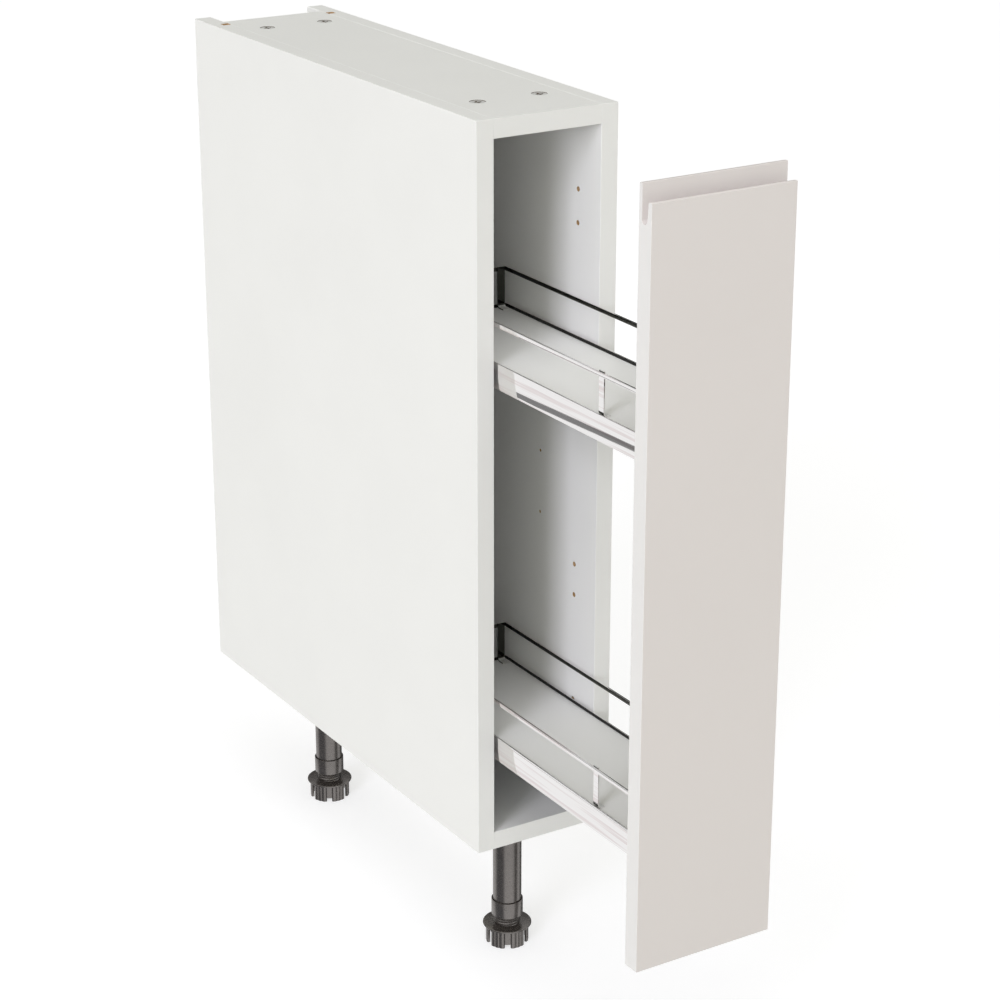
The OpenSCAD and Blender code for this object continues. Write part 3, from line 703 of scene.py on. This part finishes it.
def bent_strip(place, across, width, height, reach):
    """Flat strip bent to an L: its wall stands at a place and looks across, its foot reaches back from
    there, and the section runs over the strip's width."""
    tip = 0.3 * POST_T
    end = 0.4 * POST_T
    outline = rounded(
        [
            (-reach, 0),
            (0, 0),
            (0, POST_BEND + POST_ROW),
            (0, height),
            (-POST_T, height),
            (-POST_T, POST_BEND + POST_ROW),
            (-POST_T, POST_T),
            (-reach, POST_T),
        ],
        [tip, POST_BEND, 0, end, end, 0, POST_BEND - POST_T + 0.3 * MM, tip],
    )
    along = np.cross(across, (0, 0, 1))
    return extruded(outline, place - along * width / 2, across, (0, 0, 1), along, width)


def rail_posts(node):
    """Two posts on the sides, whose feet point inward, and two in the rear corners, whose feet point
    forward."""
    boxes = solids_of(node)
    rear_y = max(hi[1] for lo, hi in boxes)
    shells = []
    for lo, hi in boxes:
        middle, size = (lo + hi) / 2, hi - lo
        if hi[1] > rear_y - TRAY_RIM:
            shells.append(bent_strip((middle[0], hi[1], lo[2]), (0, 1, 0), size[0], size[2], size[1]))
            continue
        side = math.copysign(1, middle[0])
        outer = hi[0] if side > 0 else lo[0]
        shells.append(bent_strip((outer, middle[1], lo[2]), (side, 0, 0), size[1], size[2], size[0]))
    return joined(*shells)


def posts(level):
    """Bright posts with painted grey shade outside the bend, and painted dark shade on the rear ones. Upper
    ends, feet tops and the rear feet's sides take the dull cast zinc as painted glints.
    """
    node = f"{level}_rail_posts"
    rear = box_of(f"{level}_rail")[1][1] - REAR_POST_ZONE
    finishes = [CHROME, RAIL_PAINTED_SHADE, CAST_ZINC_AND_PAINTED_GLINT, BEND_PAINTED_SHADE]
    piece = stand_in(f"{level}_posts", [node], rail_posts(node), finishes, bevel=POST_EDGE_R)
    low, high = (c.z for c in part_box(node))
    foot_top = low + POST_BEND + POST_ROW
    # Index 3 paints grey shade outside the bend, 1 dark shade on the rear posts, and 2 glints on ends and
    # feet.
    for index, chosen in (
        (3, lambda at, n: (at[:, 2] < foot_top) & (n[:, 2] < 0.1) & (at[:, 0] * n[:, 0] > 0)),
        (1, lambda at, n: at[:, 1] > rear),
        (2, lambda at, n: (at[:, 2] > high - POST_END) & (n[:, 2] > 0.3)),
        (2, lambda at, n: (at[:, 2] < foot_top) & (n[:, 2] > 0.5)),
        (2, lambda at, n: (at[:, 2] < low + POST_T) & (at[:, 1] > rear)),
    ):
        finish_where(piece, chosen, index)


def trays():
    for level in ("upper", "lower"):
        for name, node, shape, inner_painted_shade in (
            ("polished_side", "tray_frame", tray_side, RIM_PAINTED_SHADE),
            ("gallery_rail", "rail", rail_loop, RAIL_PAINTED_SHADE),
        ):
            lo, hi = box_of(f"{level}_{node}")
            piece = stand_in(f"{level}_{name}", [f"{level}_{node}"], shape(lo, hi), [CHROME, inner_painted_shade])
            # Faces that look into the ring take the painted shade.
            finish_where(piece, looks_inward(lo, hi), 1)
        posts(level)


# Hidden steel


def channel_outline(web, tip, half, lip=0.0):
    """Section of a rolled channel, x from the side panel and z from its middle: a web at x = web, flanges
    that reach to x = tip, and lips that turn back in by lip."""
    s = math.copysign(STEEL_T, tip - web)
    outer, inner, bend = half, half - STEEL_T, STEEL_BEND
    upper = [(tip, outer), (tip, inner)]
    radii = [0.3 * STEEL_T, 0.3 * STEEL_T]
    if lip:
        upper = [(tip, outer), (tip, inner - lip), (tip - s, inner - lip), (tip - s, inner)]
        radii = [bend + STEEL_T, 0.4 * STEEL_T, 0.4 * STEEL_T, bend]
    points = [(web, outer)] + upper + [(web + s, inner)]
    round_by = [bend + STEEL_T] + radii + [bend]
    mirrored = [(x, -z) for x, z in reversed(points)]
    return rounded(points + mirrored, round_by + round_by[::-1], 5)


def runner_members():
    panel_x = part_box("side_panel_right")[0].x
    for level in ("upper", "lower"):
        for part, lip in (("outer", RUNNER_LIP), ("middle", 0.0), ("inner", 0.0)):
            node = f"{level}_runner_{part}"
            lo, hi = box_of(node)
            near, far = panel_x - hi[0], panel_x - lo[0]
            web, tip = (far, near) if part == "inner" else (near, far)
            outline = channel_outline(web, tip, (hi[2] - lo[2]) / 2, lip)
            origin = (panel_x, lo[1], (lo[2] + hi[2]) / 2)
            shell = extruded(outline, origin, (-1, 0, 0), (0, 0, 1), (0, 1, 0), hi[1] - lo[1])
            stand_in(f"{level}_{part}_channel", [node], shell, [ZINC])


def plates():
    """Bent plates: the carrier's section runs along its tray, and the bracket's runs across it."""
    t, tip = PLATE_T, 0.3 * PLATE_T
    radii = [tip, tip, STEEL_BEND, tip, tip, STEEL_BEND + t]
    for level in ("upper", "lower"):
        lo, hi = box_of(f"{level}_carrier")
        w, length, h = hi - lo
        ell = [(0, h), (0, h - t), (w - t, h - t), (w - t, 0), (w, 0), (w, h)]
        shell = extruded(rounded(ell, radii, 6), lo, (1, 0, 0), (0, 0, 1), (0, 1, 0), length)
        stand_in(f"{level}_carrier_angle", [f"{level}_carrier"], shell, [ZINC])
        lo, hi = box_of(f"{level}_front_bracket")
        length, w, h = hi - lo
        ell = [(0, 0), (t, 0), (t, h - t), (w, h - t), (w, h), (0, h)]
        shell = extruded(rounded(ell, radii, 6), lo, (0, 1, 0), (0, 0, 1), (1, 0, 0), length)
        stand_in(f"{level}_bracket", [f"{level}_front_bracket"], shell, [ZINC])


# Cams


def cam_head(radius):
    """Round head on polar coordinates: height = rise * (1 - (r / radius)^2) - depth * cross(x, y), where
    cross is 1 within half a slot's width of either axis and fades out over the slot's edge."""
    r = np.concatenate([np.linspace(0, 0.94, CAM_RINGS), [0.98, 1.0]])[:, None] * radius
    t = np.linspace(0, 2 * math.pi, CAM_STEPS, endpoint=False)[None, :]
    x, y = r * np.cos(t), r * np.sin(t)
    fade = 0.18 * CAM_CROSS_W

    def bar(a, b):
        wide = np.clip((CAM_CROSS_W / 2 - np.abs(a)) / fade + 0.5, 0, 1)
        long = np.clip((CAM_CROSS_REACH - np.abs(b)) / fade + 0.5, 0, 1)
        return wide * long

    cross = np.maximum(bar(x, y), bar(y, x))
    rim = 1 - np.clip((1 - r / radius) / 0.06, 0, 1)
    z = CAM_RISE * (1 - (r / radius) ** 2) - CAM_CROSS_DEPTH * cross - 0.25 * CAM_RISE * rim
    return np.stack([x, y, z + 0 * t], -1)


def head_on(face, normal, shape, shank):
    """A head set on a face's centre, facing along normal, closed behind at the shank's depth."""
    normal = np.asarray(normal, float)
    side = np.cross(normal, (1.0, 0.0, 0.0))
    up = np.cross(normal, side)
    skirt = shape[-1:].copy()
    skirt[..., 2] = -shank
    shape = np.concatenate([shape, skirt, np.broadcast_to(skirt.mean(1, keepdims=True), skirt.shape)])
    points = face + shape[..., :1] * side + shape[..., 1:2] * up + shape[..., 2:] * normal
    return grid(points, along=True)


def off_centre(at, centres):
    """Plan distance of each point from the nearest centre."""
    return np.linalg.norm(at[:, None, :2] - centres[None], axis=2).min(1)


def cams():
    """Cam discs, each set a little into its pocket, with a sunk cross whose deeper faces take painted
    shade.
    """
    for node, normal in (("top_cams", 1.0), ("bottom_cams", -1.0)):
        boxes = solids_of(node)
        level = boxes[0][1][2] if normal > 0 else boxes[0][0][2]
        centres = np.array([(lo + hi)[:2] / 2 for lo, hi in boxes])
        shells = []
        for (lo, hi), (x, y) in zip(boxes, centres):
            face = np.array([x, y, level - CAM_SINK * normal])
            shells.append(head_on(face, (0, 0, normal), cam_head((hi[0] - lo[0]) / 2), CAM_DEPTH))
        discs = stand_in(node.replace("cams", "cam_discs"), [node], joined(*shells), [CAST_ZINC_AND_PAINTED_GLINT, POCKET_PAINTED_SHADE])
        # Faces sunk below this depth near a centre are painted with the pocket's shade.
        reach = level - CAM_SHADE_DEPTH * normal
        finish_where(
            discs,
            lambda at, n: ((at[:, 2] - reach) * normal < 0) & (off_centre(at, centres) < CAM_SHADE_R),
            1,
        )


# Legs


def tube(lo, hi):
    """Leg tube: a turned outline from the axis over the closed top, down the outside and up the bore."""
    base, top = lo[2], hi[2]
    collar = base + COLLAR_H
    outside = [
        (0.0, top),
        (TUBE_R, top),
        (TUBE_R, collar - COLLAR_GROOVE_D),
        (TUBE_R + COLLAR_GROOVE_W, collar - COLLAR_GROOVE_D),
        (TUBE_R + COLLAR_GROOVE_W, collar),
        (COLLAR_R, collar),
        (COLLAR_R, base),
        (BORE_R, base),
        (BORE_R, base + BORE_H),
        (0.0, base + BORE_H),
    ]
    radii = [0, 0.8 * MM, 0, 0, 0.2 * MM, 0.25 * MM, 0.6 * MM, 0.4 * MM, 0, 0]
    return lathed(rounded(outside, radii, 4), ((lo[0] + hi[0]) / 2, (lo[1] + hi[1]) / 2, 0), closed=False)


def toothed_ring(centre):
    """Ring in parts between its slots. Over the angle t from a part's middle, the outer radius is even
    across the plain stretch, and then dips by a narrow cusp between teeth; the lower edge rises over the
    notch."""
    half_part = PLAIN_HALF_ANGLE + TEETH * TOOTH_ANGLE
    shells = []
    for part in range(RING_PARTS):
        t = np.linspace(-half_part, half_part, RING_STEPS + 1)
        past = (np.abs(t) - PLAIN_HALF_ANGLE) / TOOTH_ANGLE
        cusp = np.where(past > -0.2, 1 - np.abs(np.sin(math.pi * past)) ** 0.45, 0)
        outer = RING_R - TOOTH_DEPTH * np.clip(cusp, 0, 1) - np.where(past < 0, PLAIN_DROP, 0)
        inner = np.full(len(t), RING_R - RING_WALL)
        low = np.where(np.abs(t) < NOTCH_HALF_ANGLE, NOTCH_H, 0.0)
        high = np.full(len(t), RING_H)
        section = [
            (outer, low + RING_EDGE),
            (outer, high),
            (inner, high),
            (inner, low + RING_EDGE),
            (inner + RING_EDGE, low),
            (outer - RING_EDGE, low),
        ]
        angle = np.radians(t + part * 360 / RING_PARTS)
        rows = [np.stack([r * np.cos(angle), r * np.sin(angle), z], -1) for r, z in section]
        points = np.stack(rows) + np.asarray(centre)
        p, faces = grid(points, around=True)
        n, count = len(section), len(t)
        faces += [[k * count for k in range(n)], [k * count + count - 1 for k in reversed(range(n))]]
        shells.append((p, faces))
    return joined(*shells)


def threaded_stud(centre, low, high):
    """Hollow stud: the outer radius at angle t and height z is the root plus the depth times
    (0.5 + 0.5 cos(2 pi (z / pitch - t / (2 pi))))^0.7, a rounded ridge that climbs one pitch a turn."""
    t = np.linspace(0, 2 * math.pi, TURN_STEPS, endpoint=False)[None, :]
    z = np.arange(low, high, THREAD_PITCH / THREAD_STEPS)[:, None]
    wave = 0.5 + 0.5 * np.cos(2 * math.pi * (z / THREAD_PITCH) - t)
    r = THREAD_CREST_R - THREAD_DEPTH * (1 - wave**0.7)
    outside = np.stack([r * np.cos(t), r * np.sin(t), z + 0 * t], -1)
    bore = np.stack([STUD_BORE_R * np.cos(t), STUD_BORE_R * np.sin(t), 0 * t], -1)
    top, bottom = bore + (0, 0, z[-1, 0]), bore + (0, 0, low)
    return grid(np.concatenate([outside, top, bottom]) + np.asarray(centre), around=True, along=True)


def foot(lo, hi):
    centre = ((lo[0] + hi[0]) / 2, (lo[1] + hi[1]) / 2, lo[2])
    flange_r = (hi[0] - lo[0]) / 2
    flange_top = RING_H + FLANGE_T
    flange = rounded(
        [(STUD_BORE_R, RING_H), (flange_r, RING_H), (flange_r, flange_top), (STUD_BORE_R, flange_top)],
        [0, 0.7 * MM, 0.7 * MM, 0],
        5,
    )
    stud = threaded_stud(centre, RING_H + 0.5 * FLANGE_T, hi[2] - lo[2])
    return joined(toothed_ring(centre), lathed(flange, centre), stud)


def socket(lo, hi):
    """Plate with rounded corners, and the cup under it with its two ribs."""
    middle = (lo + hi) / 2
    top = hi[2]
    w, length = (hi[0] - lo[0]) / 2, (hi[1] - lo[1]) / 2
    plan = rounded([(-w, -length), (w, -length), (w, length), (-w, length)], SOCKET_CORNER_R)
    base = (middle[0], middle[1], top - SOCKET_T)
    plate = extruded(plan, base, (1, 0, 0), (0, 1, 0), (0, 0, 1), SOCKET_T)
    seat = -0.5 * SOCKET_T
    cup_r = TUBE_R + 0.1 * MM
    cup = rounded(
        [(cup_r, -CUP_H), (CUP_R, -CUP_H), (CUP_R, seat), (cup_r, seat)],
        [0.4 * MM, 0.8 * MM, 0, 0],
        4,
    )
    ribs = []
    for s in (-1, 1):
        root = TUBE_R + 0.6 * MM
        rib = np.array(
            [
                (root, -CUP_H / 2),
                (CUP_R, -CUP_H / 2),
                (CUP_RIB_L, -SOCKET_T),
                (CUP_RIB_L, seat),
                (root, seat),
            ]
        )
        origin = (middle[0] - CUP_RIB_T / 2, middle[1], top)
        ribs.append(extruded(rib, origin, (0, s, 0), (0, 0, 1), (1, 0, 0), CUP_RIB_T))
    return joined(plate, lathed(cup, (middle[0], middle[1], top)), *ribs)


def legs():
    for end in ("front", "rear"):
        for name, node, shape, bevel, sharp in (
            ("tube", "leg_tube", tube, 0.0, 32.0),
            ("screw_foot", "foot", foot, 0.0, 38.0),
            ("socket", "leg_socket", socket, SOCKET_EDGE_R, 32.0),
        ):
            shell = shape(*box_of(f"{end}_{node}"))
            stand_in(f"{end}_{name}", [f"{end}_{node}"], shell, [LEG], bevel, sharp)


# Studio


def grey(level):
    return (level, level, level)


GLOSS_LEVEL = 1.0
# Places are shares of a full turn: 0 and 1 look to -Y, 0.25 to -X, 0.5 to +Y and 0.75 to +X
FIELDS = [
    (0.00, grey(0.98)),
    (0.14, grey(0.92)),
    (0.17, (0.13, 0.14, 0.16)),
    (0.33, (0.13, 0.14, 0.16)),
    (0.385, grey(0.93)),
    (0.58, grey(0.93)),
    (0.62, grey(0.18)),
    (0.745, grey(0.18)),
    (0.775, grey(0.92)),
    (0.835, grey(0.92)),
    (0.86, grey(0.12)),
    (0.91, grey(0.12)),
    (0.945, grey(0.95)),
]
# Heights are those of a unit ray. The band's places are shares of this range
BAND_RANGE = (-0.40, -0.30)
BAND = [
    (0.00, grey(1.0)),
    (0.15, grey(1.0)),
    (0.17, grey(0.24)),
    (0.40, grey(0.24)),
    (0.42, grey(1.0)),
]
OVERHEAD = [
    (0.00, grey(0.04)),
    (0.45, grey(0.06)),
    (0.60, grey(0.80)),
    (1.00, grey(0.90)),
]


def floor():
    """Wide pale floor. The camera sees it as white where no shadow falls, with more blue in it against the
    sky's warm tint."""
    points = np.array([(-1, -1, 0), (1, -1, 0), (1, 1, 0), (-1, 1, 0)]) * FLOOR_HALF
    mesh = bpy.data.meshes.new("floor")
    mesh.from_pydata(points.tolist(), [], [[0, 1, 2, 3]])
    plane = bpy.data.objects.new("floor", mesh)
    bpy.context.scene.collection.objects.link(plane)
    finish = bpy.data.materials.new("pale_floor")
    finish.use_nodes = True
    tree = finish.node_tree
    tree.nodes.clear()
    out = tree.nodes.new("ShaderNodeOutputMaterial")
    path = tree.nodes.new("ShaderNodeLightPath")
    matt = tree.nodes.new("ShaderNodeBsdfDiffuse")
    matt.inputs["Color"].default_value = (*FLOOR_ALBEDO, 1)
    lit = SKY + CEILING["level"]
    for lamp in (KEY_LOW, KEY_HIGH, FILL):
        lit += lamp["level"] * math.sin(math.radians(lamp["elevation"]))
    seen = tree.nodes.new("ShaderNodeBsdfDiffuse")
    pale = (FLOOR_SEEN - FLOOR_GLOW) / lit
    seen.inputs["Color"].default_value = (pale, pale, FLOOR_BLUE * pale, 1)
    glow = tree.nodes.new("ShaderNodeEmission")
    glow.inputs["Strength"].default_value = FLOOR_GLOW
    both = tree.nodes.new("ShaderNodeAddShader")
    tree.links.new(seen.outputs["BSDF"], both.inputs[0])
    tree.links.new(glow.outputs["Emission"], both.inputs[1])
    pick = tree.nodes.new("ShaderNodeMixShader")
    tree.links.new(path.outputs["Is Camera Ray"], pick.inputs["Fac"])
    tree.links.new(matt.outputs["BSDF"], pick.inputs[1])
    tree.links.new(both.outputs["Shader"], pick.inputs[2])
    tree.links.new(pick.outputs["Shader"], out.inputs["Surface"])
    mesh.materials.append(finish)
    plane.visible_glossy = False


def band_below(tree, height, fields):
    """Fields multiplied by a profile over a ray's height: one dark band low under the horizon."""
    share = tree.nodes.new("ShaderNodeMapRange")
    share.inputs["From Min"].default_value = BAND_RANGE[0]
    share.inputs["From Max"].default_value = BAND_RANGE[1]
    tree.links.new(height, share.inputs["Value"])
    profile = ramp(tree, share.outputs["Result"], BAND)
    both = tree.nodes.new("ShaderNodeMix")
    both.data_type = "RGBA"
    both.blend_type = "MULTIPLY"
    both.inputs["Factor"].default_value = 1.0
    tree.links.new(fields, both.inputs["A"])
    tree.links.new(profile, both.inputs["B"])
    return both.outputs["Result"]


def studio():
    """White room. Glossy rays see soft bright and dark fields around the object, like a studio's walls."""
    world = bpy.data.worlds.new("studio")
    bpy.context.scene.world = world
    world.use_nodes = True
    tree = world.node_tree
    tree.nodes.clear()
    out = tree.nodes.new("ShaderNodeOutputWorld")
    path = tree.nodes.new("ShaderNodeLightPath")
    where = tree.nodes.new("ShaderNodeTexCoord")
    axes = tree.nodes.new("ShaderNodeSeparateXYZ")
    tree.links.new(where.outputs["Generated"], axes.inputs["Vector"])
    turn = tree.nodes.new("ShaderNodeMath")
    turn.operation = "ARCTAN2"
    tree.links.new(axes.outputs["X"], turn.inputs[0])
    tree.links.new(axes.outputs["Y"], turn.inputs[1])
    share = tree.nodes.new("ShaderNodeMapRange")
    share.inputs["From Min"].default_value = -math.pi
    share.inputs["From Max"].default_value = math.pi
    tree.links.new(turn.outputs[0], share.inputs["Value"])
    fields = ramp(tree, share.outputs["Result"], FIELDS)
    fields = band_below(tree, axes.outputs["Z"], fields)
    upward = tree.nodes.new("ShaderNodeMapRange")
    upward.inputs["From Min"].default_value = -0.12
    upward.inputs["From Max"].default_value = 0.12
    tree.links.new(axes.outputs["Z"], upward.inputs["Value"])
    overhead = ramp(tree, axes.outputs["Z"], OVERHEAD)
    both = tree.nodes.new("ShaderNodeMix")
    both.data_type = "RGBA"
    tree.links.new(upward.outputs["Result"], both.inputs["Factor"])
    tree.links.new(fields, both.inputs["A"])
    tree.links.new(overhead, both.inputs["B"])
    gloss = tree.nodes.new("ShaderNodeBackground")
    gloss.inputs["Strength"].default_value = GLOSS_LEVEL
    tree.links.new(both.outputs["Result"], gloss.inputs["Color"])
    plain = tree.nodes.new("ShaderNodeBackground")
    tint = tree.nodes.new("ShaderNodeMix")
    tint.data_type = "RGBA"
    tint.inputs["A"].default_value = (*SKY_TINT, 1)
    tint.inputs["B"].default_value = (1, 1, 1, 1)
    tree.links.new(path.outputs["Is Camera Ray"], tint.inputs["Factor"])
    tree.links.new(tint.outputs["Result"], plain.inputs["Color"])
    level = tree.nodes.new("ShaderNodeMapRange")
    level.inputs["To Min"].default_value = SKY
    level.inputs["To Max"].default_value = 1.0
    tree.links.new(path.outputs["Is Camera Ray"], level.inputs["Value"])
    tree.links.new(level.outputs["Result"], plain.inputs["Strength"])
    pick = tree.nodes.new("ShaderNodeMixShader")
    tree.links.new(path.outputs["Is Glossy Ray"], pick.inputs["Fac"])
    tree.links.new(plain.outputs["Background"], pick.inputs[1])
    tree.links.new(gloss.outputs["Background"], pick.inputs[2])
    tree.links.new(pick.outputs["Shader"], out.inputs["Surface"])


def aimed(name, data, source):
    """Lamp object whose light comes from a direction."""
    lamp = bpy.data.objects.new(name, data)
    bpy.context.scene.collection.objects.link(lamp)
    away = np.array(source) / np.linalg.norm(source)
    lamp.rotation_euler = (0, math.acos(away[2]), math.atan2(away[1], away[0]))
    lamp.visible_glossy = False
    lamp.visible_camera = False
    return lamp, away


def wide_sun(name, level, source, spread, tint):
    """Soft sun, whose energy is pi times its level."""
    data = bpy.data.lights.new(name, "SUN")
    data.energy = level * math.pi
    data.angle = math.radians(spread)
    data.color = tint
    aimed(name, data, source)


def softbox(name, level, azimuth, elevation, wide, tall, tint):
    """Far rectangular lamp that spans wide by tall degrees, whose power is its level times pi^2 times the
    square of its distance."""
    data = bpy.data.lights.new(name, "AREA")
    data.shape = "RECTANGLE"
    data.size = 2 * LAMP_DISTANCE * math.tan(math.radians(tall) / 2)
    data.size_y = 2 * LAMP_DISTANCE * math.tan(math.radians(wide) / 2)
    data.energy = level * (math.pi * LAMP_DISTANCE) ** 2
    data.color = tint
    a, e = math.radians(azimuth), math.radians(elevation)
    lamp, away = aimed(name, data, (-math.cos(a) * math.cos(e), -math.sin(a) * math.cos(e), math.sin(e)))
    lamp.location = away * LAMP_DISTANCE


def camera():
    data = bpy.data.cameras.new("photo_view")
    data.sensor_width = SENSOR
    data.lens = FOCAL_PX / FRAME_PX * SENSOR
    eye = bpy.data.objects.new("photo_view", data)
    bpy.context.scene.collection.objects.link(eye)
    eye.location = CAMERA_PLACE
    eye.rotation_euler = (math.radians(90 - CAMERA_PITCH), 0, math.radians(-CAMERA_YAW))
    bpy.context.scene.camera = eye


finish_solids()
carcass()
front()
trays()
runner_members()
plates()
cams()
legs()
floor()
studio()
softbox("key_low", **KEY_LOW)
softbox("key_high", **KEY_HIGH)
softbox("front_fill", **FILL)
wide_sun("ceiling_light", **CEILING)
camera()
bpy.context.scene.view_settings.view_transform = "Standard"
